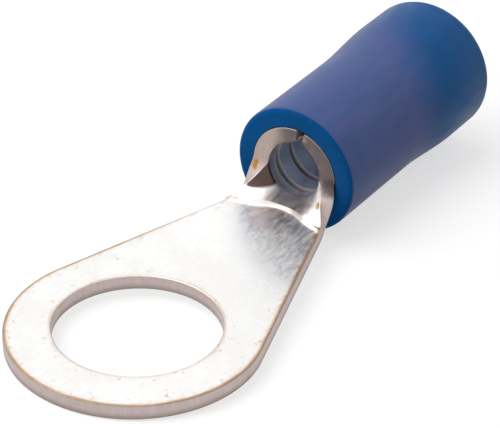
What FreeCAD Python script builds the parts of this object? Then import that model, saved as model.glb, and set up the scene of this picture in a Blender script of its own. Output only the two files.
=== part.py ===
import FreeCAD, Part
import math
import os

# Insulated ring terminal for a crimped wire, in millimetres.
# The origin is the centre of the stud hole on the underside of the ring.
# +X runs from the ring towards the wire entry, and +Z is up.

# Sheet that the terminal is stamped and rolled from
stock_thickness = 0.70
palm_thickness = 0.60

# Ring, also called the palm, that lies under the stud's nut
stud_hole_radius = 3.2
ring_radius = 4.9
ring_offset = 0.15
sheared_edge_round = 0.06
rim_match_tolerance = 1e-6

# Barrel that the bare wire is crimped in
wire_bore_radius = 1.20
barrel_mouth_x = 10.5
barrel_length = 5.0
rear_edge_break = 0.15

# Neck, where the flat palm curls up into the round barrel
neck_length = 1.25
neck_overlap = 0.65
roll_growth = 1.15
flank_end_setback = 0.5
wing_corner_radius = 0.65
coin_setback = 0.77
coin_nose_radius = 1.7
coin_sweep = 20.8
coin_wall_angle = 75.0
coin_punch_height = 0.8
least_roll_angle = 1.0
flank_station_count = 5
corner_station_count = 9

# Grooves pressed across the inside of the barrel, which grip the wire
serration_count = 4
serration_pitch = 1.0
serration_setback = 0.70
serration_width = 0.22
serration_flat = 0.10
serration_depth = 0.16

# Butt seam where the two edges of the rolled sheet meet. The bore rises to a wide peak under it.
seam_angle = 9.0
seam_groove_width = 0.16
seam_groove_depth = 0.10
seam_peak_width = 0.76
seam_peak_depth = 0.30
seam_notch_width = 0.26
seam_notch_length = 0.30

# Moulded sleeve
sleeve_grip_clearance = 0.02
sleeve_setback = 0.05
sleeve_length = 10.6
sleeve_front_radius = 2.70
sleeve_rear_radius = 2.90
sleeve_flare_start = 5.2
sleeve_flare_length = 3.3
sleeve_front_round = 0.22
sleeve_rear_round = 0.45
sleeve_mouth_round = 0.20
wire_entry_radius = 2.15
funnel_lead = 0.20
funnel_throat_length = 0.25
funnel_length = 1.1

# Sizes that follow from the ones above
barrel_outer_radius = wire_bore_radius + stock_thickness
barrel_middle_radius = wire_bore_radius + stock_thickness / 2.0
barrel_axis_z = barrel_outer_radius
barrel_rear_x = barrel_mouth_x + barrel_length
flank_end_x = barrel_mouth_x - flank_end_setback
neck_start_x = barrel_mouth_x - neck_length
palm_end_x = neck_start_x - neck_overlap
coin_nose_x = barrel_mouth_x - coin_setback - coin_nose_radius
seam_tilt = math.radians(seam_angle)
seam_direction = FreeCAD.Vector(0.0, -math.sin(seam_tilt), math.cos(seam_tilt))

ALONG_X = FreeCAD.Vector(1, 0, 0)
UP = FreeCAD.Vector(0, 0, 1)
AXIS_POINT = FreeCAD.Vector(0, 0, barrel_axis_z)


def ring_about_barrel(corners):
    """A solid turned about the barrel's axis from corners given as (x, radius)."""
    points = [FreeCAD.Vector(x, 0, barrel_axis_z + radius) for x, radius in corners]
    face = Part.Face(Part.makePolygon(points + points[:1]))
    return face.revolve(AXIS_POINT, ALONG_X, 360)


def flank_tangent():
    """Where the straight flanks leave the ring's circle: x, y and the angle of the flank to the X axis."""
    distance = math.hypot(flank_end_x + ring_offset, barrel_outer_radius)
    towards_end = math.atan2(barrel_outer_radius, flank_end_x + ring_offset)
    turn = towards_end + math.acos(ring_radius / distance)
    x = ring_radius * math.cos(turn) - ring_offset
    return x, ring_radius * math.sin(turn), math.pi / 2.0 - turn


def flank_half_width(x):
    """Half the blank's width at x, along the straight flanks."""
    flank_angle = flank_tangent()[2]
    return barrel_outer_radius + (flank_end_x - x) * math.tan(flank_angle)


def wing_corner():
    """Centre of the rounded corner between a flank and the barrel's mouth, in the flat blank."""
    flank_angle = flank_tangent()[2]
    corner_to_tangent = wing_corner_radius / math.tan((math.pi / 2.0 - flank_angle) / 2.0)
    return barrel_mouth_x - wing_corner_radius, flank_half_width(barrel_mouth_x) + corner_to_tangent


def neck_stations():
    """Places along the neck as (x, half the flat blank's width), closer together in the rounded corner."""
    flank_angle = flank_tangent()[2]
    corner_x, corner_width = wing_corner()
    flank_stop_x = corner_x - wing_corner_radius * math.sin(flank_angle)
    stations = [(palm_end_x, flank_half_width(palm_end_x))]
    for step in range(flank_station_count):
        x = neck_start_x + (flank_stop_x - neck_start_x) * step / flank_station_count
        stations.append((x, flank_half_width(x)))
    for step in range(corner_station_count + 1):
        angle = -flank_angle + (math.pi / 2.0 + flank_angle) * step / corner_station_count
        x = corner_x + wing_corner_radius * math.sin(angle)
        stations.append((x, corner_width - wing_corner_radius * math.cos(angle)))
    return stations


def strip_section(x, half_width):
    """The sheet's section at x, curled to an arc that tightens towards the barrel. Its edges stay square."""
    progress = max(0.0, (x - neck_start_x) / neck_length)
    half_angle = progress ** roll_growth * half_width / barrel_middle_radius
    half_angle = max(half_angle, math.radians(least_roll_angle))
    middle_radius = half_width / half_angle

    def skin(outwards):
        radius = middle_radius + outwards
        rise = radius * (1.0 - math.cos(half_angle))
        low = stock_thickness / 2.0 - outwards
        left = FreeCAD.Vector(x, radius * math.sin(half_angle), low + rise)
        right = FreeCAD.Vector(x, -radius * math.sin(half_angle), low + rise)
        return right, FreeCAD.Vector(x, 0, low), left

    outside = skin(stock_thickness / 2.0)
    inside = skin(-stock_thickness / 2.0)
    return Part.Wire([
        Part.Arc(*outside).toShape(),
        Part.makeLine(outside[-1], inside[-1]),
        Part.Arc(*inside).toShape(),
        Part.makeLine(inside[0], outside[0]),
    ])


def neck():
    """The strip between palm and barrel, curled up along its length."""
    sections = [strip_section(x, half_width) for x, half_width in neck_stations()]
    return Part.makeLoft(sections, True, True)


def palm():
    """The flat ring with its two tangent flanks, up to the start of the neck."""
    tangent_x, tangent_y, flank_angle = flank_tangent()
    end_y = flank_half_width(palm_end_x)
    corners = [
        FreeCAD.Vector(tangent_x, -tangent_y, 0),
        FreeCAD.Vector(palm_end_x, -end_y, 0),
        FreeCAD.Vector(palm_end_x, end_y, 0),
        FreeCAD.Vector(tangent_x, tangent_y, 0),
    ]
    tip = FreeCAD.Vector(-ring_radius - ring_offset, 0, 0)
    edges = [Part.Arc(corners[3], tip, corners[0]).toShape()]
    edges += [Part.makeLine(start, end) for start, end in zip(corners, corners[1:])]
    plate = Part.Face(Part.Wire(edges)).extrude(UP * palm_thickness)
    hole = Part.makeCylinder(stud_hole_radius, palm_thickness, FreeCAD.Vector(0, 0, 0), UP)
    return plate.cut(hole)


def coining_punch():
    """The space that the flat-faced punch takes over the neck. Its steep wall stands on the crease."""
    sweep = math.radians(coin_sweep)

    def outline(rise):
        radius = coin_nose_radius + rise / math.tan(math.radians(coin_wall_angle))
        z = palm_thickness + rise
        tangent_x = coin_nose_x + radius * math.cos(sweep)
        tangent_y = radius * math.sin(sweep)
        side_x = tangent_x - (ring_radius - tangent_y) * math.tan(sweep)
        apex = FreeCAD.Vector(coin_nose_x + radius, 0, z)
        left = FreeCAD.Vector(tangent_x, tangent_y, z)
        right = FreeCAD.Vector(tangent_x, -tangent_y, z)
        left_side = FreeCAD.Vector(side_x, ring_radius, z)
        right_side = FreeCAD.Vector(side_x, -ring_radius, z)
        left_back = FreeCAD.Vector(0, ring_radius, z)
        right_back = FreeCAD.Vector(0, -ring_radius, z)
        return Part.Wire([
            Part.Arc(right, apex, left).toShape(),
            Part.makeLine(left, left_side),
            Part.makeLine(left_side, left_back),
            Part.makeLine(left_back, right_back),
            Part.makeLine(right_back, right_side),
            Part.makeLine(right_side, right),
        ])

    return Part.makeLoft([outline(0.0), outline(coin_punch_height)], True, True)


def serration(number):
    """One pressed groove across the bore, counted from the mouth."""
    middle_x = barrel_mouth_x + serration_setback + number * serration_pitch
    under_bore = wire_bore_radius - serration_depth
    bottom = wire_bore_radius + serration_depth
    corners = [
        (middle_x - serration_width, under_bore),
        (middle_x - serration_flat / 2.0, bottom),
        (middle_x + serration_flat / 2.0, bottom),
        (middle_x + serration_width, under_bore),
    ]
    return ring_about_barrel(corners)


def seam_groove(radius, outwards, width):
    """A V groove along the seam, reaching outwards from a radius of the barrel, or inwards if below zero."""
    across = seam_direction.cross(ALONG_X)
    corners = [
        AXIS_POINT + seam_direction * (radius + outwards),
        AXIS_POINT + seam_direction * (radius - outwards) + across * width,
        AXIS_POINT + seam_direction * (radius - outwards) - across * width,
    ]
    corners = [corner + ALONG_X * barrel_mouth_x for corner in corners]
    face = Part.Face(Part.makePolygon(corners + corners[:1]))
    return face.extrude(ALONG_X * barrel_length)


def seam_notch():
    """The notch that the blank's two cut corners leave where they meet at the mouth."""
    across = seam_direction.cross(ALONG_X)
    base = AXIS_POINT + seam_direction * (wire_bore_radius / 2.0)
    corners = [
        base + ALONG_X * barrel_mouth_x + across * (seam_notch_width / 2.0),
        base + ALONG_X * barrel_mouth_x - across * (seam_notch_width / 2.0),
        base + ALONG_X * (barrel_mouth_x + seam_notch_length),
    ]
    face = Part.Face(Part.makePolygon(corners + corners[:1]))
    return face.extrude(seam_direction * barrel_outer_radius)


def barrel():
    """Rolled barrel with its butt seam, the edge break at its rear and the grooves that grip the wire."""
    corners = [
        (barrel_mouth_x, wire_bore_radius),
        (barrel_mouth_x, barrel_outer_radius),
        (barrel_rear_x, barrel_outer_radius),
        (barrel_rear_x, wire_bore_radius + rear_edge_break),
        (barrel_rear_x - rear_edge_break, wire_bore_radius),
    ]
    tube = ring_about_barrel(corners)
    for number in range(serration_count):
        tube = tube.cut(serration(number))
    tube = tube.cut(seam_groove(barrel_outer_radius, -seam_groove_depth, seam_groove_width))
    tube = tube.cut(seam_groove(wire_bore_radius, seam_peak_depth, seam_peak_width))
    return tube.cut(seam_notch())


def terminal():
    """Ring, neck and barrel: one piece of sheet."""
    metal = neck().cut(coining_punch()).fuse([palm(), barrel()]).removeSplitter()
    rims = []
    for edge in metal.Edges:
        curve = edge.Curve
        if isinstance(curve, Part.Circle) and abs(curve.Radius - stud_hole_radius) < rim_match_tolerance:
            rims.append(edge)
    return metal.makeFillet(sheared_edge_round, rims).Solids[0]


def insulating_sleeve():
    """Sleeve turned from its section: the barrel's seat, a funnel for the wire, and a flared outside."""
    seat_radius = barrel_outer_radius + sleeve_grip_clearance
    throat_radius = wire_bore_radius + funnel_lead
    front_x = barrel_mouth_x + sleeve_setback
    rear_x = front_x + sleeve_length
    flare_x = front_x + sleeve_flare_start
    flare_end_x = flare_x + sleeve_flare_length
    throat_end_x = barrel_rear_x + funnel_throat_length
    funnel_end_x = throat_end_x + funnel_length

    def at(x, radius):
        return FreeCAD.Vector(x, 0, barrel_axis_z + radius)

    def corner(start, middle_x, middle_radius, end):
        return Part.Arc(start, at(middle_x, middle_radius), end).toShape()

    def quarter(radius):
        return radius * (1.0 - math.sqrt(0.5))

    flare_middle = at(flare_x + sleeve_flare_length / 2.0, (sleeve_front_radius + sleeve_rear_radius) / 2.0)
    flare_rise = sleeve_rear_radius - sleeve_front_radius
    flare_arc_radius = (sleeve_flare_length ** 2 + flare_rise ** 2) / (4.0 * flare_rise)
    half_turn = math.asin(sleeve_flare_length / 2.0 / flare_arc_radius) / 2.0
    bend_run = flare_arc_radius * math.sin(half_turn)
    bend_rise = flare_arc_radius * (1.0 - math.cos(half_turn))
    front_low = at(front_x, sleeve_front_radius - sleeve_front_round)
    front_high = at(front_x + sleeve_front_round, sleeve_front_radius)
    rear_high = at(rear_x - sleeve_rear_round, sleeve_rear_radius)
    rear_low = at(rear_x, sleeve_rear_radius - sleeve_rear_round)
    mouth_high = at(rear_x, wire_entry_radius + sleeve_mouth_round)
    mouth_low = at(rear_x - sleeve_mouth_round, wire_entry_radius)
    edges = [
        Part.makeLine(at(front_x, seat_radius), front_low),
        corner(front_low, front_x + quarter(sleeve_front_round),
               sleeve_front_radius - quarter(sleeve_front_round), front_high),
        Part.makeLine(front_high, at(flare_x, sleeve_front_radius)),
        corner(at(flare_x, sleeve_front_radius), flare_x + bend_run,
               sleeve_front_radius + bend_rise, flare_middle),
        corner(flare_middle, flare_end_x - bend_run,
               sleeve_rear_radius - bend_rise, at(flare_end_x, sleeve_rear_radius)),
        Part.makeLine(at(flare_end_x, sleeve_rear_radius), rear_high),
        corner(rear_high, rear_x - quarter(sleeve_rear_round),
               sleeve_rear_radius - quarter(sleeve_rear_round), rear_low),
        Part.makeLine(rear_low, mouth_high),
        corner(mouth_high, rear_x - quarter(sleeve_mouth_round),
               wire_entry_radius + quarter(sleeve_mouth_round), mouth_low),
        Part.makeLine(mouth_low, at(funnel_end_x, wire_entry_radius)),
        Part.makeLine(at(funnel_end_x, wire_entry_radius), at(throat_end_x, throat_radius)),
        Part.makeLine(at(throat_end_x, throat_radius), at(barrel_rear_x, throat_radius)),
        Part.makeLine(at(barrel_rear_x, throat_radius), at(barrel_rear_x, seat_radius)),
        Part.makeLine(at(barrel_rear_x, seat_radius), at(front_x, seat_radius)),
    ]
    section = Part.Face(Part.Wire(edges))
    return section.revolve(AXIS_POINT, ALONG_X, 360)


os.makedirs("parts", exist_ok=True)
for name, shape in (("terminal", terminal()), ("insulating_sleeve", insulating_sleeve())):
    print(name, shape.ShapeType, len(shape.Solids), "solid", shape.isValid(), round(shape.Volume, 3), "mm3")
    shape.exportStep("parts/" + name + ".step")
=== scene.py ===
import math

import bmesh
import bpy
from mathutils import Matrix, Vector
from mathutils.bvhtree import BVHTree


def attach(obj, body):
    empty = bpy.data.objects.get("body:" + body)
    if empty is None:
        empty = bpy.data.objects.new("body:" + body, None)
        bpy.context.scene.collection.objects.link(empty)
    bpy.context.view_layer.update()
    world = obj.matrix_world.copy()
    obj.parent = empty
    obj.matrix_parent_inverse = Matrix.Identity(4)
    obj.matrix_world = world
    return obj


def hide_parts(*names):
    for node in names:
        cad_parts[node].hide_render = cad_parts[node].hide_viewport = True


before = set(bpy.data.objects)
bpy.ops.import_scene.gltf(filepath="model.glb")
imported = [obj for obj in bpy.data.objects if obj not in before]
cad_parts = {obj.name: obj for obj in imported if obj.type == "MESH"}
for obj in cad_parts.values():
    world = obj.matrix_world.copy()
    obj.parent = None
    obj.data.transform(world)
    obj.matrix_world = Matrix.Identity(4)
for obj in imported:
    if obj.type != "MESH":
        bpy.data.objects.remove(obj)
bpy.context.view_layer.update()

# Terminal. One blank of tinned copper, stamped from sheet, its ring pressed flat and thinner,
# its other end rolled up round the wire with a butt seam along the top. The stamping leaves the
# edges rounded and bare, and there the copper shows through the tin.
MM = 0.001
weld = 1e-5
sheet = 0.70
palm = 0.60
hole_radius = 3.2
hole_steps = 64
ring_radius = 4.9
ring_steps = 72
ring_centre_x = -0.15
ring_tip_x = ring_centre_x - ring_radius
bore_radius = 1.20
mouth_x = 10.5
rear_x = 15.5
middle_radius = bore_radius + sheet / 2
barrel_radius = bore_radius + sheet
axis_height = barrel_radius
seam_turn = math.radians(9)
seam_gap = 0.02
notch_width = 0.26
notch_length = 0.30
corner_radius = 0.65
corner_steps = 14
flank_end_x = 10.0
edge_round = 0.055
edge_segments = 3
facing_up = 0.5
sharp_edge = math.radians(45)
crisp_angle = math.radians(42)

flank_reach = flank_end_x - ring_centre_x
touch_turn = math.atan2(barrel_radius, flank_reach)
touch_turn += math.acos(ring_radius / math.hypot(flank_reach, barrel_radius))
flank_angle = math.pi / 2 - touch_turn
corner_x = mouth_x - corner_radius
corner_y = barrel_radius + (flank_end_x - mouth_x) * math.tan(flank_angle)
corner_y += corner_radius / math.tan((math.pi / 2 - flank_angle) / 2)
flank_stop_x = corner_x - corner_radius * math.sin(flank_angle)
flank_stop_y = corner_y - corner_radius * math.cos(flank_angle)


def verts_of(geom):
    """The vertices among the elements that an operator gives back."""
    return [item for item in geom if isinstance(item, bmesh.types.BMVert)]


def draw_arc(bm, pen, centre, turn, steps):
    """Carries the outline on from the pen's vertex along an arc about the centre."""
    drawn = bmesh.ops.spin(bm, geom=[pen], cent=centre, axis=(0, 0, 1), angle=turn, steps=steps)
    return verts_of(drawn["geom_last"])[0]


def draw_line(bm, pen, x, y):
    """Carries the outline on from the pen's vertex along a straight line."""
    end = bmesh.ops.extrude_vert_indiv(bm, verts=[pen])["verts"][0]
    end.co = (x, y, 0)
    return end


def flat_blank():
    """The stamped blank, still flat. Half its outline is drawn, filled, mirrored and thickened."""
    bm = bmesh.new()
    seam_y = middle_radius * math.pi - seam_gap / 2
    outline_turn = math.pi / 2 + flank_angle
    pen = bmesh.ops.create_vert(bm, co=(-hole_radius, 0, 0))["vert"][0]
    pen = draw_line(bm, pen, ring_tip_x, 0)
    pen = draw_arc(bm, pen, (ring_centre_x, 0, 0), -outline_turn, ring_steps)
    pen = draw_line(bm, pen, flank_stop_x, flank_stop_y)
    pen = draw_arc(bm, pen, (corner_x, corner_y, 0), outline_turn, corner_steps)
    pen = draw_line(bm, pen, mouth_x, seam_y - notch_width / 2)
    pen = draw_line(bm, pen, mouth_x + notch_length, seam_y)
    pen = draw_line(bm, pen, rear_x, seam_y)
    pen = draw_line(bm, pen, rear_x, 0)
    pen = draw_line(bm, pen, hole_radius, 0)
    draw_arc(bm, pen, (0, 0, 0), math.pi, hole_steps)
    bmesh.ops.remove_doubles(bm, verts=bm.verts, dist=weld)
    bmesh.ops.contextual_create(bm, geom=bm.edges[:])
    bmesh.ops.mirror(bm, geom=bm.verts[:] + bm.edges[:] + bm.faces[:], axis="Y", merge_dist=weld)
    bmesh.ops.recalc_face_normals(bm, faces=bm.faces[:])
    body = bmesh.ops.extrude_face_region(bm, geom=bm.faces[:], use_keep_orig=True)
    bmesh.ops.translate(bm, verts=verts_of(body["geom"]), vec=(0, 0, sheet))
    bmesh.ops.recalc_face_normals(bm, faces=bm.faces[:])
    return bm


def turn_seam(bm):
    """Moves the barrel's two long edges sideways, so that the seam lies beside the top."""
    sides = []
    for vert in bm.verts:
        if vert.co.x > corner_x and abs(vert.co.y) > corner_y + corner_radius:
            sides.append(vert)
    bmesh.ops.translate(bm, verts=sides, vec=(0, middle_radius * seam_turn, 0))


def sheared_walls(bm):
    """The flat blank's upright cut walls alone, to measure distances from."""
    walls_only = bm.copy()
    flats = [face for face in walls_only.faces if abs(face.normal.z) > facing_up]
    bmesh.ops.delete(walls_only, geom=flats, context="FACES_ONLY")
    walls = BVHTree.FromBMesh(walls_only)
    walls_only.free()
    return walls


def round_sheared_edges(bm):
    """The stamped edges, rounded on both sides of the sheet."""
    edges = []
    for edge in bm.edges:
        level = abs(edge.verts[0].co.z - edge.verts[1].co.z) < weld
        if level and edge.calc_face_angle() > sharp_edge:
            edges.append(edge)
    bmesh.ops.bevel(bm, geom=edges, affect="EDGES", offset=edge_round, offset_type="OFFSET",
                    segments=edge_segments, profile=0.5, material=-1)


def cut_faces(bm, faces, position, direction):
    """Cuts the given faces with a plane, so that the sheet can bend or step there."""
    edges = {edge for face in faces for edge in face.edges}
    verts = {vert for face in faces for vert in face.verts}
    bmesh.ops.bisect_plane(bm, geom=list(verts) + list(edges) + faces, dist=weld,
                           plane_co=position, plane_no=direction)


def cut_across(bm, position, direction, least_x=-math.inf):
    """Cuts every face past least_x with a plane."""
    faces = [face for face in bm.faces if face.calc_center_median().x > least_x]
    cut_faces(bm, faces, position, direction)


neck_start_x = 9.25
bend_margin = 0.65
bend_start_x = neck_start_x - bend_margin
roll_growth = 1.15
crease_setback = 0.77
nose_radius = 1.7
nose_x = mouth_x - crease_setback - nose_radius
nose_sweep = math.radians(20.8)
nose_chords = 5
chord_overlap = 0.8
crease_reach = 0.15
wall_steepness = math.tan(math.radians(75))
groove_pitch = 1.0
groove_count = 4
groove_setback = 0.70
groove_first_x = mouth_x + groove_setback
groove_half_top = 0.135
groove_half_bottom = 0.05
groove_depth = 0.16
peak_depth = 0.30
peak_slope = math.radians(38)
mouth_roll_depth = 0.07
mouth_roll_length = 0.14
mouth_roll_cuts = (0.3, 0.55, 0.8, 1.0)
flat_cell = 0.3
neck_cell = 0.05
neck_cell_count = 33
across_cell = 0.06
barrel_cell = 0.10
touching = 0.001


def cut_flat_ring(bm):
    """Divides the flat ring, so that the distance to its edges is known all over it."""
    first = math.ceil(ring_tip_x / flat_cell)
    last = math.floor(bend_start_x / flat_cell)
    for direction in (Vector((1, 0, 0)), Vector((0, 1, 0))):
        for number in range(first, last + 1):
            cut_across(bm, direction * number * flat_cell, direction)


def cut_for_bending(bm):
    """Divides the neck and the barrel finely enough to roll them round."""
    cut_across(bm, (bend_start_x, 0, 0), (1, 0, 0))
    places = [mouth_x - neck_cell * number for number in range(neck_cell_count)]
    places += [mouth_x + mouth_roll_length * share for share in mouth_roll_cuts]
    for number in range(groove_count):
        middle = groove_first_x + number * groove_pitch
        for offset in (groove_half_top, groove_half_bottom):
            places += [middle - offset, middle + offset]
    for x in places:
        cut_across(bm, (x, 0, 0), (1, 0, 0), bend_start_x)
    across_count = int(corner_y / across_cell)
    for number in range(-across_count, across_count + 1):
        cut_across(bm, (0, number * across_cell, 0), (0, 1, 0), bend_start_x)
    y = corner_y + barrel_cell / 2
    while y < middle_radius * (math.pi + seam_turn) - barrel_cell:
        cut_across(bm, (0, y, 0), (0, 1, 0), bend_start_x)
        cut_across(bm, (0, -y, 0), (0, 1, 0), bend_start_x)
        y += barrel_cell


def rolled(place):
    """Where a point of the flat blank goes when neck and barrel are rolled."""
    x, across, height = place
    if x <= neck_start_x:
        return Vector(place)
    progress = min(1.0, (x - neck_start_x) / (mouth_x - neck_start_x)) ** roll_growth
    bend_radius = middle_radius / progress
    angle = across / bend_radius
    radius = bend_radius + sheet / 2 - height
    return Vector((x, radius * math.sin(angle), height + radius * (1 - math.cos(angle))))


def nose_distance(x, y):
    """Distance outside the crease, where the coined flat ends. It is negative on the flat."""
    angle = math.atan2(abs(y), x - nose_x)
    angle = min(angle, nose_sweep)
    return (x - nose_x) * math.cos(angle) + abs(y) * math.sin(angle) - nose_radius


def smooth_step(value):
    """Rises from 0 to 1 with a soft start and a soft end."""
    value = min(1.0, max(0.0, value))
    return value * value * (3 - 2 * value)


def pressed_depth(x, across):
    """How deep the barrel's inside is pressed: grooves, the peak under the seam, the round mouth."""
    if x < mouth_x - touching:
        return 0.0
    depth = 0.0
    for number in range(groove_count):
        if abs(x - groove_first_x - number * groove_pitch) < groove_half_bottom + touching:
            depth = groove_depth
    from_seam = math.pi - abs(across / middle_radius - seam_turn)
    if from_seam < peak_slope:
        flat_distance = (bore_radius + peak_depth) * math.cos(peak_slope)
        depth = max(depth, flat_distance / math.cos(peak_slope - from_seam) - bore_radius)
    at_mouth = smooth_step((mouth_x + mouth_roll_length - x) / mouth_roll_length)
    past_corner = smooth_step((abs(across) - corner_y) / corner_radius)
    return depth + mouth_roll_depth * at_mouth * past_corner


def mark_edge_distance(bm, walls):
    """Stores how far each point of the flat blank is from the nearest sheared edge."""
    layer = bm.verts.layers.float.new("edge_distance")
    for vert in bm.verts:
        _, _, _, distance = walls.find_nearest(vert.co)
        vert[layer] = distance


def press_and_roll(bm):
    """Presses the barrel's inside, rolls neck and barrel, and stores the height of their top."""
    top_height = bm.verts.layers.float.new("top_height")
    for vert in bm.verts:
        x, across, height = vert.co
        if height > sheet / 2:
            vert[top_height] = rolled((x, across, sheet)).z
            height -= pressed_depth(x, across)
        vert.co = rolled((x, across, height))


def faces_by_crease(bm, turn_here, sector):
    """The faces of the sheet's top that lie along one chord of the crease."""
    faces = []
    for face in bm.faces:
        centre = face.calc_center_median()
        if centre.x > mouth_x or centre.z < palm / 2:
            continue
        turn = math.atan2(centre.y, centre.x - nose_x)
        turn = max(-nose_sweep, min(nose_sweep, turn))
        beside_chord = abs(turn - turn_here) < chord_overlap * sector
        if beside_chord and abs(nose_distance(centre.x, centre.y)) <= crease_reach:
            faces.append(face)
    return faces


def coin_ring(bm):
    """Cuts the top at the foot and the head of the punch's wall, then presses what lies inside."""
    nose_centre = Vector((nose_x, 0, palm))
    sector = nose_sweep / nose_chords
    for lean in (Vector((0, 0, 0)), Vector((0, 0, -1 / wall_steepness))):
        for number in range(-nose_chords, nose_chords + 1):
            turn = number * sector
            direction = Vector((math.cos(turn), math.sin(turn), 0))
            cut_faces(bm, faces_by_crease(bm, turn, sector), nose_centre + direction * nose_radius,
                      direction + lean)
    top_height = bm.verts.layers.float["top_height"]
    for vert in bm.verts:
        if vert[top_height] > 0 and vert.co.x < mouth_x:
            outside = max(0.0, nose_distance(vert.co.x, vert.co.y))
            pressed_height = palm + outside * wall_steepness
            vert.co.z -= max(0.0, vert[top_height] - pressed_height)
    bm.verts.layers.float.remove(top_height)


def make_object(bm, name):
    """Turns a shape drawn in millimetres into an object in metres, and puts it in the scene."""
    bmesh.ops.scale(bm, verts=bm.verts[:], vec=(MM, MM, MM))
    mesh = bpy.data.meshes.new(name)
    bm.to_mesh(mesh)
    bm.free()
    made = bpy.data.objects.new(name, mesh)
    bpy.context.scene.collection.objects.link(made)
    return made


def shade_evenly(piece):
    """Smooth shading that stays crisp at stamped and moulded corners."""
    piece.data.shade_smooth()
    piece.data.set_sharp_from_angle(angle=crisp_angle)
    even_normals = piece.modifiers.new("even_normals", "WEIGHTED_NORMAL")
    even_normals.keep_sharp = True


blank = flat_blank()
turn_seam(blank)
blank_walls = sheared_walls(blank)
round_sheared_edges(blank)
cut_flat_ring(blank)
cut_for_bending(blank)
mark_edge_distance(blank, blank_walls)
press_and_roll(blank)
coin_ring(blank)
bmesh.ops.recalc_face_normals(blank, faces=blank.faces[:])
stamped_terminal = make_object(blank, "stamped_terminal")
shade_evenly(stamped_terminal)
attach(stamped_terminal, "root")
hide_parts("terminal")


def new_material(name):
    """A material, with its node tree and its shader."""
    material = bpy.data.materials.new(name)
    material.use_nodes = True
    return material, material.node_tree, material.node_tree.nodes["Principled BSDF"]


def add_node(tree, kind, inputs=None, **settings):
    """A shader node with its settings, and its inputs given as values or as sockets to link."""
    node = tree.nodes.new(kind)
    for name, value in settings.items():
        setattr(node, name, value)
    for name, value in (inputs or {}).items():
        if isinstance(value, bpy.types.NodeSocket):
            tree.links.new(value, node.inputs[name])
        else:
            node.inputs[name].default_value = value
    return node


def scaled(tree, place, scale):
    """The place, stretched along each axis."""
    return add_node(tree, "ShaderNodeMapping", {"Vector": place, "Scale": scale}).outputs[0]


def in_millimetres(tree):
    """The place on the object in millimetres, for patterns of a real size."""
    place = add_node(tree, "ShaderNodeTexCoord").outputs["Object"]
    return scaled(tree, place, (1 / MM, 1 / MM, 1 / MM))


def noise(tree, place, scale, detail=3.0, stretch=(1, 1, 1)):
    """Noise with about `scale` patches to the millimetre."""
    if stretch != (1, 1, 1):
        place = scaled(tree, place, stretch)
    inputs = {"Vector": place, "Scale": scale, "Detail": detail}
    return add_node(tree, "ShaderNodeTexNoise", inputs).outputs["Fac"]


def between(tree, value, low, high, to_low=0.0, to_high=1.0, smooth=True):
    """Maps a value from one range to another, held at both ends."""
    inputs = {"Value": value, "From Min": low, "From Max": high, "To Min": to_low, "To Max": to_high}
    kind = "SMOOTHSTEP" if smooth else "LINEAR"
    return add_node(tree, "ShaderNodeMapRange", inputs, interpolation_type=kind).outputs[0]


def fading(tree, value, low, high, most=1.0):
    """Holds its most up to low, then falls to 0 at high."""
    return between(tree, value, low, high, to_low=most, to_high=0.0)


def combine(tree, operation, first, second):
    """Two values, combined by one operation."""
    return add_node(tree, "ShaderNodeMath", {0: first, 1: second}, operation=operation).outputs[0]


def times(tree, first, second):
    """The product of two values."""
    return combine(tree, "MULTIPLY", first, second)


def plus(tree, first, second):
    """The sum of two values."""
    return combine(tree, "ADD", first, second)


def distance_to(tree, place, point):
    """How far the place is from a point."""
    node = add_node(tree, "ShaderNodeVectorMath", {0: place, 1: point}, operation="DISTANCE")
    return node.outputs["Value"]


def along(tree, place, direction):
    """How far along a direction the place lies."""
    node = add_node(tree, "ShaderNodeVectorMath", {0: place, 1: direction}, operation="DOT_PRODUCT")
    return node.outputs["Value"]


def mix_colour(tree, share, first, second):
    """A colour between two others: the second, as far as the share says."""
    inputs = {0: share, 6: first, 7: second}
    return add_node(tree, "ShaderNodeMix", inputs, data_type="RGBA").outputs[2]


def add_bump(tree, shader, height, strength, depth):
    """Relief from a pattern's height. The depth is in millimetres."""
    inputs = {"Height": height, "Strength": strength, "Distance": depth * MM}
    tree.links.new(add_node(tree, "ShaderNodeBump", inputs).outputs[0], shader.inputs["Normal"])


bright_tin = (0.97, 0.965, 0.955, 1)
clouded_tin = (0.935, 0.925, 0.91, 1)
thin_tin = (0.62, 0.42, 0.25, 1)
# Painted reflection: the tin inside the bore tinted blue, as if lit by the blue sleeve.
bore_tin_painted_blue = (0.77, 0.86, 1.0, 1)
copper_halo = (0.90, 0.73, 0.60, 1)
copper_line = (0.46, 0.31, 0.20, 1)
copper_freckle = (0.50, 0.33, 0.20, 1)
rubbed_copper = (0.34, 0.24, 0.17, 1)
cut_copper = (0.50, 0.423, 0.408, 1)
pale_cut_copper = (0.54, 0.457, 0.44, 1)
# Painted shade for the right of the mouth's cut face.
dark_cut_copper = (0.27, 0.215, 0.20, 1)
dull_copper = (0.46, 0.38, 0.34, 1)
dull_copper_painted_shade = (0.13, 0.105, 0.105, 1)
# Painted shade at the front of the bore.
bore_front_painted_shade = (0.46, 0.40, 0.38, 1)
# Painted shade in the grooves inside the bore.
groove_painted_shade = (0.14, 0.095, 0.08, 1)

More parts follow.
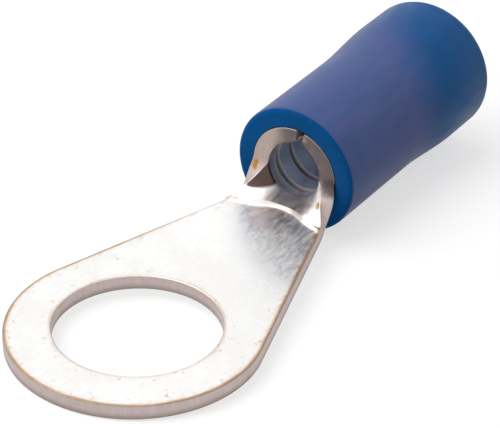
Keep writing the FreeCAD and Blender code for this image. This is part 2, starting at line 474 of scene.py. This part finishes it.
noise_low = 0.3
noise_high = 0.7
sheared_start = 0.012
sheared_end = 0.045
thin_least_reach = 0.055
thin_more_reach = 0.20
thin_share = 0.30
hole_fade_start = 0.2
hole_fade_end = 0.6
share_at_hole = 0.25
neck_direction = (1.0, 0.6, 0.0)
rim_fade_start = 7.0
rim_fade_end = 9.0
halo_start = 0.06
halo_end = 0.34
halo_share = 0.85
halo_ragged_low = -0.08
halo_ragged_high = 0.12
line_start = 0.07
line_end = 0.17
line_least = 0.60
line_at_neck = 0.35
rubbed_foot = 0.002
rubbed_full = 0.016
rubbed_fade = 0.025
rubbed_share = 0.85
freckle_start = 0.15
freckle_end = 0.75
freckle_most = 0.75
freckle_share = 0.55
cluster_core = 0.3
freckle_clusters = ((3.3, 3.3, 0.6), (3.4, 0.95, 0.35), (1.4, -4.05, 0.5), (-2.9, -3.5, 0.5),
                    (5.9, -2.8, 0.5))
low_copper_top = 0.34
low_copper_share = 0.85
right_start = 1.2
right_end = 0.2
dull_start_x = mouth_x - 0.12
dull_end_x = mouth_x + 0.02
hollow_foot = 0.93
hollow_head = 1.04
bore_fade_start = 0.35
bore_fade_end = 0.45
bore_front = 0.05
bore_full = 0.15
groove_shade_start = 0.12
groove_shade_end = 0.17
groove_shade_share = 0.85
bore_shade_start = 0.20
bore_shade_end = 0.60
bore_shade_share = 0.85
tin_smoothest = 0.20
tin_roughest = 0.32
neck_dull_start = 4.5
neck_dull_end = 7.5
neck_rougher = 0.10
sheared_rougher = 0.25
rubbed_rougher = 0.30
bore_rougher = 0.10
stain_or_reflection_ragged_low = -0.06
stain_or_reflection_ragged_high = 0.10

# Each patch, a stain or a painted reflection: its centre, the distances from it where it starts and
# stops fading, its share and colour.
# Painted reflection: the grey that the flat ring shows just in front of the neck, where it mirrors
# the sleeve and the barrel.
palm_painted_reflection = ((8.80, -0.10, palm), 0.30, 1.50, 0.80, (0.70, 0.67, 0.67, 1))
# Painted reflection: a faint warm darkening in the middle of the neck's trough.
neck_painted_reflection = ((9.95, 0.0, 0.70), 0.60, 1.20, 0.80, (0.88, 0.79, 0.74, 1))
# Painted reflection: grey on the right of the neck, beside the crease.
right_painted_reflection = ((9.78, -0.92, 0.80), 0.28, 0.62, 0.85, (0.42, 0.37, 0.375, 1))
# Painted reflection: the dark brown patch on the left wing's inner wall, where it mirrors the dark
# inside of the barrel.
hollow_painted_reflection = ((10.20, 1.22, 1.38), 0.62, 0.80, 1.00, (0.105, 0.070, 0.065, 1))
# Painted reflection: the dark patch on the right at the barrel's mouth, beside the sleeve.
corner_painted_reflection = ((10.45, -1.78, 1.75), 0.18, 0.60, 0.85, (0.07, 0.055, 0.052, 1))
left_copper = ((10.40, 1.76, 1.68), 0.08, 0.30, 1.00, (0.44, 0.22, 0.034, 1))
right_copper = ((9.91, -1.56, 1.16), 0.08, 0.26, 0.85, (0.44, 0.27, 0.14, 1))
seam_copper = ((10.50, -0.42, 3.55), 0.08, 0.22, 0.75, (0.40, 0.27, 0.18, 1))


def worn_tin(tree, place, distance, patchy, ragged):
    """Faintly clouded tin, worn thin in patches beside the edges."""
    clouds = noise(tree, place, scale=0.7, detail=4.0)
    colour = mix_colour(tree, between(tree, clouds, 0.35, 0.65), bright_tin, clouded_tin)
    reach = times(tree, between(tree, patchy, 0.45, 0.70), thin_more_reach)
    reach = plus(tree, reach, thin_least_reach)
    worn = fading(tree, combine(tree, "DIVIDE", distance, reach), 0.45, 1.1)
    worn = times(tree, worn, between(tree, ragged, 0.30, 0.62, to_low=0.25))
    return mix_colour(tree, times(tree, worn, thin_share), colour, thin_tin)


def rim_wear(tree, place, distance, patchy, ragged):
    """The copper at the outer rim: a ragged halo, a line, and the rounded edge rubbed bare.

    All three are faint round the hole. Towards the neck the line grows faint and the rest ends.
    """
    from_hole = distance_to(tree, place, (0, 0, 0))
    outside_hole = between(tree, from_hole, hole_radius + hole_fade_start,
                           hole_radius + hole_fade_end, to_low=share_at_hole)
    to_neck = along(tree, place, neck_direction)
    outer_rim = times(tree, outside_hole, fading(tree, to_neck, rim_fade_start, rim_fade_end))
    shift = between(tree, ragged, noise_low, noise_high, halo_ragged_low, halo_ragged_high)
    halo = fading(tree, plus(tree, distance, shift), halo_start, halo_end, halo_share)
    line = fading(tree, distance, line_start, line_end)
    line = times(tree, line, between(tree, patchy, 0.35, 0.60, to_low=line_least))
    line = times(tree, line, outside_hole)
    at_neck = between(tree, to_neck, rim_fade_start, rim_fade_end, 1.0, line_at_neck)
    rubbed = fading(tree, distance, edge_round, edge_round + rubbed_fade)
    rubbed = times(tree, rubbed, between(tree, distance, rubbed_foot, rubbed_full))
    return times(tree, halo, outer_rim), times(tree, line, at_neck), times(tree, rubbed, outer_rim)


def freckles(tree, place, distance):
    """Where small copper freckles show: beside the edges, and in a few clusters on the ring."""
    freckled = fading(tree, distance, freckle_start, freckle_end, freckle_most)
    for x, y, size in freckle_clusters:
        from_cluster = distance_to(tree, place, (x, y, palm))
        cluster = fading(tree, from_cluster, cluster_core * size, size)
        freckled = combine(tree, "MAXIMUM", freckled, cluster)
    specks = between(tree, noise(tree, place, scale=4.5, detail=5.0), 0.60, 0.68)
    return times(tree, specks, freckled)


def cut_wall(tree, place, axes):
    """The sheared walls' copper: darker low down, and dull round the mouth, with painted shade
    darkening the mouth towards the right.
    """
    grain = noise(tree, place, scale=9.0, detail=4.0, stretch=(1, 1, 0.25))
    grain = between(tree, grain, noise_low, noise_high)
    colour = mix_colour(tree, grain, cut_copper, pale_cut_copper)
    low_down = fading(tree, axes["Z"], 0.0, low_copper_top, low_copper_share)
    colour = mix_colour(tree, low_down, colour, dark_cut_copper)
    # Painted shade: the mouth's cut face darkens towards the right, beside the sleeve.
    painted_shade_at_right = between(tree, axes["Y"], right_start, right_end)
    mouth_with_painted_shade = mix_colour(tree, painted_shade_at_right, dull_copper, dull_copper_painted_shade)
    in_barrel = between(tree, axes["X"], dull_start_x, dull_end_x)
    return mix_colour(tree, in_barrel, colour, mouth_with_painted_shade)


def with_stain_or_painted_reflection(tree, colour, place, ragged, stain_or_reflection, where=1.0):
    """The colour with one ragged patch on it, either a real stain or a painted reflection."""
    centre, inner, outer, share, stain_or_reflection_colour = stain_or_reflection
    shift = between(tree, ragged, noise_low, noise_high, stain_or_reflection_ragged_low, stain_or_reflection_ragged_high)
    apart = plus(tree, distance_to(tree, place, centre), shift)
    amount = times(tree, fading(tree, apart, inner, outer), share)
    return mix_colour(tree, times(tree, amount, where), colour, stain_or_reflection_colour)


def inside_barrel(tree, place, x):
    """Where the bore is, and where its grooves are."""
    across = add_node(tree, "ShaderNodeVectorMath", {0: place, 1: (0, 1, 1)}, operation="MULTIPLY")
    from_axis = distance_to(tree, across.outputs[0], (0, 0, axis_height))
    in_bore = fading(tree, from_axis, bore_radius + bore_fade_start, bore_radius + bore_fade_end)
    in_bore = times(tree, in_bore, between(tree, x, mouth_x + bore_front, mouth_x + bore_full))
    from_groove = combine(tree, "SUBTRACT", x, groove_first_x)
    from_groove = combine(tree, "PINGPONG", from_groove, groove_pitch / 2)
    in_groove = fading(tree, from_groove, groove_shade_start, groove_shade_end, groove_shade_share)
    return in_bore, times(tree, in_groove, in_bore)


def tinned_copper():
    """The terminal's finish: tin, copper where it is worn or cut, copper stains, painted reflections
    round the neck and the mouth, and painted shade and a painted blue reflection in the bore.
    """
    material, tree, shader = new_material("tinned_copper")
    shader.inputs["Metallic"].default_value = 1.0
    place = in_millimetres(tree)
    axes = add_node(tree, "ShaderNodeSeparateXYZ", {"Vector": place}).outputs
    distance = add_node(tree, "ShaderNodeAttribute", attribute_name="edge_distance").outputs["Fac"]
    patchy = noise(tree, place, scale=0.9)
    ragged = noise(tree, place, scale=5.0)
    sheared = fading(tree, distance, sheared_start, sheared_end)
    halo, line, rubbed = rim_wear(tree, place, distance, patchy, ragged)
    in_bore, in_groove = inside_barrel(tree, place, axes["X"])

    colour = worn_tin(tree, place, distance, patchy, ragged)
    colour = mix_colour(tree, halo, colour, copper_halo)
    colour = mix_colour(tree, line, colour, copper_line)
    freckled = times(tree, freckles(tree, place, distance), freckle_share)
    colour = mix_colour(tree, freckled, colour, copper_freckle)
    colour = mix_colour(tree, sheared, colour, cut_wall(tree, place, axes))
    colour = mix_colour(tree, times(tree, rubbed, rubbed_share), colour, rubbed_copper)
    # Painted reflections on the flat ring and the neck.
    for stain_or_reflection in (palm_painted_reflection, neck_painted_reflection, right_painted_reflection):
        colour = with_stain_or_painted_reflection(tree, colour, place, ragged, stain_or_reflection)
    # Painted reflection on the left wing's inner wall, above the ramp.
    in_hollow = between(tree, axes["Z"], hollow_foot, hollow_head)
    in_hollow = times(tree, in_hollow, fading(tree, sheared, 0.0, 0.5))
    colour = with_stain_or_painted_reflection(tree, colour, place, ragged, hollow_painted_reflection, in_hollow)
    # A painted reflection at the mouth's right corner, then real copper spots.
    for stain_or_reflection in (corner_painted_reflection, left_copper, right_copper, seam_copper):
        colour = with_stain_or_painted_reflection(tree, colour, place, ragged, stain_or_reflection)
    # Painted shade darkens the bore's front, and a painted blue reflection tints the rest of it.
    shaded_front = fading(tree, axes["X"], mouth_x + bore_shade_start, mouth_x + bore_shade_end, bore_shade_share)
    colour = mix_colour(tree, in_bore, colour, mix_colour(tree, shaded_front, bore_tin_painted_blue, bore_front_painted_shade))
    # Painted shade in the grooves.
    colour = mix_colour(tree, in_groove, colour, groove_painted_shade)
    tree.links.new(colour, shader.inputs["Base Color"])

    scuffs = noise(tree, place, scale=2.2, detail=5.0, stretch=(1, 3, 1))
    roughness = between(tree, scuffs, noise_low, noise_high, tin_smoothest, tin_roughest)
    at_neck = between(tree, axes["X"], neck_dull_start, neck_dull_end)
    for where, rougher in ((sheared, sheared_rougher), (rubbed, rubbed_rougher),
                           (in_bore, bore_rougher), (at_neck, neck_rougher)):
        roughness = plus(tree, roughness, times(tree, where, rougher))
    tree.links.new(roughness, shader.inputs["Roughness"])

    drawn_lines = noise(tree, place, scale=6.0, stretch=(1.2, 6, 1))
    waviness = noise(tree, place, scale=0.45, detail=2.0)
    height = plus(tree, drawn_lines, times(tree, waviness, 1.2))
    add_bump(tree, shader, height, strength=0.045, depth=0.004)
    return material


stamped_terminal.data.materials.append(tinned_copper())

# Sleeve. Blue plastic, moulded in one piece and pushed over the barrel until the barrel's end
# seats on the shoulder inside. Behind the shoulder a funnel leads the wire in, and the wide
# rear takes the wire's own insulation.
sleeve_setback = 0.05
sleeve_length = 10.6
sleeve_front_x = mouth_x + sleeve_setback
sleeve_rear_x = sleeve_front_x + sleeve_length
sleeve_front_radius = 2.70
sleeve_rear_radius = 2.90
flare_start = 5.2
flare_length = 3.3
flare_steps = 16
fit_clearance = 0.02
seat_radius = barrel_radius + fit_clearance
throat_clearance = 0.20
throat_radius = bore_radius + throat_clearance
throat_length = 0.25
funnel_length = 1.1
entry_radius = 2.15
front_round = 0.22
rear_round = 0.45
entry_round = 0.20
inner_round = 0.06
seat_round = 0.05
round_segments = 6
turning_steps = 128


def sleeve_profile(bm):
    """The sleeve's section as a closed wire of (x, radius), its corners rounded as moulded."""
    rounded = {}
    first = bmesh.ops.create_vert(bm, co=(sleeve_front_x, seat_radius, 0))["vert"][0]
    pen = draw_line(bm, first, sleeve_front_x, sleeve_front_radius)
    rounded[pen] = front_round
    rise = sleeve_rear_radius - sleeve_front_radius
    for step in range(flare_steps + 1):
        share = step / flare_steps
        x = sleeve_front_x + flare_start + flare_length * share
        pen = draw_line(bm, pen, x, sleeve_front_radius + rise * smooth_step(share))
    pen = draw_line(bm, pen, sleeve_rear_x, sleeve_rear_radius)
    rounded[pen] = rear_round
    pen = draw_line(bm, pen, sleeve_rear_x, entry_radius)
    rounded[pen] = entry_round
    throat_end_x = rear_x + throat_length
    for x, radius in ((throat_end_x + funnel_length, entry_radius), (throat_end_x, throat_radius),
                      (rear_x, throat_radius), (rear_x, seat_radius)):
        pen = draw_line(bm, pen, x, radius)
        rounded[pen] = inner_round
    bm.edges.new((pen, first))
    rounded[first] = seat_round
    for vert, size in rounded.items():
        bmesh.ops.bevel(bm, geom=[vert], affect="VERTICES", offset=size, offset_type="OFFSET",
                        segments=round_segments, profile=0.5, material=-1)


tube = bmesh.new()
sleeve_profile(tube)
bmesh.ops.spin(tube, geom=tube.verts[:] + tube.edges[:], cent=(0, 0, 0), axis=(1, 0, 0),
               angle=2 * math.pi, steps=turning_steps, use_merge=True)
bmesh.ops.recalc_face_normals(tube, faces=tube.faces[:])
bmesh.ops.translate(tube, verts=tube.verts[:], vec=(0, 0, axis_height))
moulded_sleeve = make_object(tube, "moulded_sleeve")
shade_evenly(moulded_sleeve)
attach(moulded_sleeve, "root")
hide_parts("insulating_sleeve")

deep_blue = (0.002, 0.070, 0.225, 1)
lighter_blue = (0.003, 0.083, 0.265, 1)
bloom_blue = (0.088, 0.108, 0.265, 1)
bloom_direction = (1.0, -0.6, 0.0)
bloom_stop = 6.2
bloom_end = 9.2
bloom_thinnest = 0.7
bloom_thickest = 1.1
sheen_weight = 0.24
sheen_roughness = 0.4
plastic_smoothest = 0.38
plastic_roughest = 0.52
pore_share = 0.12
outside_haze = 0.8
outside_shine = 0.09
end_shine = 0.03
front_band = 0.12
rear_band = 0.35


def blue_material(name, shine, haze):
    """Blue plastic. The haze is the pale bloom that handling leaves on the sleeve's outside."""
    material, tree, shader = new_material(name)
    shader.inputs["Specular IOR Level"].default_value = shine
    shader.inputs["Sheen Weight"].default_value = sheen_weight * haze
    shader.inputs["Sheen Roughness"].default_value = sheen_roughness
    place = in_millimetres(tree)
    clouds = between(tree, noise(tree, place, scale=0.5, detail=4.0), noise_low, noise_high)
    deep = mix_colour(tree, clouds, deep_blue, lighter_blue)
    to_rear = along(tree, place, bloom_direction)
    bloom = fading(tree, to_rear, sleeve_front_x + bloom_stop, sleeve_front_x + bloom_end, haze)
    streaks = noise(tree, place, scale=1.2, detail=5.0, stretch=(0.6, 1.4, 1.4))
    streaky = between(tree, streaks, 0.25, 0.7, bloom_thinnest, bloom_thickest)
    colour = mix_colour(tree, times(tree, bloom, streaky), deep, bloom_blue)
    tree.links.new(colour, shader.inputs["Base Color"])
    roughness = between(tree, streaks, noise_low, noise_high, plastic_smoothest, plastic_roughest)
    tree.links.new(roughness, shader.inputs["Roughness"])
    ripple = noise(tree, place, scale=0.8, stretch=(0.5, 1, 1))
    pores = noise(tree, place, scale=12.0, detail=2.0)
    height = plus(tree, ripple, times(tree, pores, pore_share))
    add_bump(tree, shader, height, strength=0.3, depth=0.02)
    return material


sleeve_mesh = moulded_sleeve.data
sleeve_mesh.materials.append(blue_material("blue_plastic", outside_shine, outside_haze))
sleeve_mesh.materials.append(blue_material("blue_plastic_ends", end_shine, 0.0))
for face in sleeve_mesh.polygons:
    face_x = face.center.x / MM
    if face_x < sleeve_front_x + front_band or face_x > sleeve_rear_x - rear_band:
        face.material_index = 1

# Floor. A plain white surface that the terminal lies on: it touches the ring's tip and the lower
# front edge of the sleeve, so it is tilted to the part's own frame.
floor_tilt = math.radians(2.896)
floor_size = 400
floor_grey = (0.42, 0.42, 0.42, 1)
floor_glow = 0.62
floor_roughness = 0.9
floor_shape = bmesh.new()
bmesh.ops.create_grid(floor_shape, x_segments=1, y_segments=1, size=floor_size / 2)
bmesh.ops.rotate(floor_shape, verts=floor_shape.verts[:], cent=(0, 0, 0),
                 matrix=Matrix.Rotation(floor_tilt, 3, "Y"))
bmesh.ops.translate(floor_shape, verts=floor_shape.verts[:], vec=(ring_tip_x, 0, 0))
floor = make_object(floor_shape, "floor")


def seen_directly(tree):
    """1 for what the camera sees directly, mirrored or through something clear."""
    path = add_node(tree, "ShaderNodeLightPath").outputs
    seen = combine(tree, "MAXIMUM", path["Is Camera Ray"], path["Is Glossy Ray"])
    return combine(tree, "MAXIMUM", seen, path["Is Transmission Ray"])


white_floor, floor_tree, floor_shader = new_material("white_floor")
floor_shader.inputs["Base Color"].default_value = floor_grey
floor_shader.inputs["Roughness"].default_value = floor_roughness
floor_shader.inputs["Specular IOR Level"].default_value = 0.0
floor_shader.inputs["Emission Color"].default_value = (1, 1, 1, 1)
glow = times(floor_tree, seen_directly(floor_tree), floor_glow)
floor_tree.links.new(glow, floor_shader.inputs["Emission Strength"])
floor.data.materials.append(white_floor)

# Light. A plain white room lights the terminal softly from all round, and one large soft lamp on
# the left helps it. The background behind the terminal stays white.
room_light = 0.50
lamp_size = 220
lamp_distance = 200
lamp_energy = 0.33
lamp_side = Vector((-0.30, 0.42, 0.90)).normalized()
lamp_aim = Vector((6, 0, 1)) * MM

world = bpy.data.worlds.new("studio")
bpy.context.scene.world = world
world.use_nodes = True
room_tree = world.node_tree
room = room_tree.nodes["Background"]
room.inputs["Color"].default_value = (1, 1, 1, 1)
room_strength = between(room_tree, seen_directly(room_tree), 0, 1, room_light, 1.0, smooth=False)
room_tree.links.new(room_strength, room.inputs["Strength"])

lamp_data = bpy.data.lights.new("softbox", "AREA")
lamp_data.shape = "DISK"
lamp_data.size = lamp_size * MM
lamp_data.energy = lamp_energy
lamp = bpy.data.objects.new("softbox", lamp_data)
lamp.location = lamp_aim + lamp_side * lamp_distance * MM
lamp.rotation_euler = (lamp_aim - lamp.location).to_track_quat("-Z", "Y").to_euler()
bpy.context.scene.collection.objects.link(lamp)

# Camera. It stands where the photograph's view fits the ring, the barrel and the sleeve.
camera_place = Vector((-65.373, -48.557, 58.177)) * MM
camera_turn = [math.radians(angle) for angle in (57.084, -0.457, -56.009)]
camera_lens = 193.6
nearest_seen = 10 * MM
camera_data = bpy.data.cameras.new("camera")
camera_data.lens = camera_lens
camera_data.clip_start = nearest_seen
camera = bpy.data.objects.new("camera", camera_data)
camera.location = camera_place
camera.rotation_euler = camera_turn
bpy.context.scene.collection.objects.link(camera)
bpy.context.scene.camera = camera
bpy.context.scene.view_settings.view_transform = "Standard"
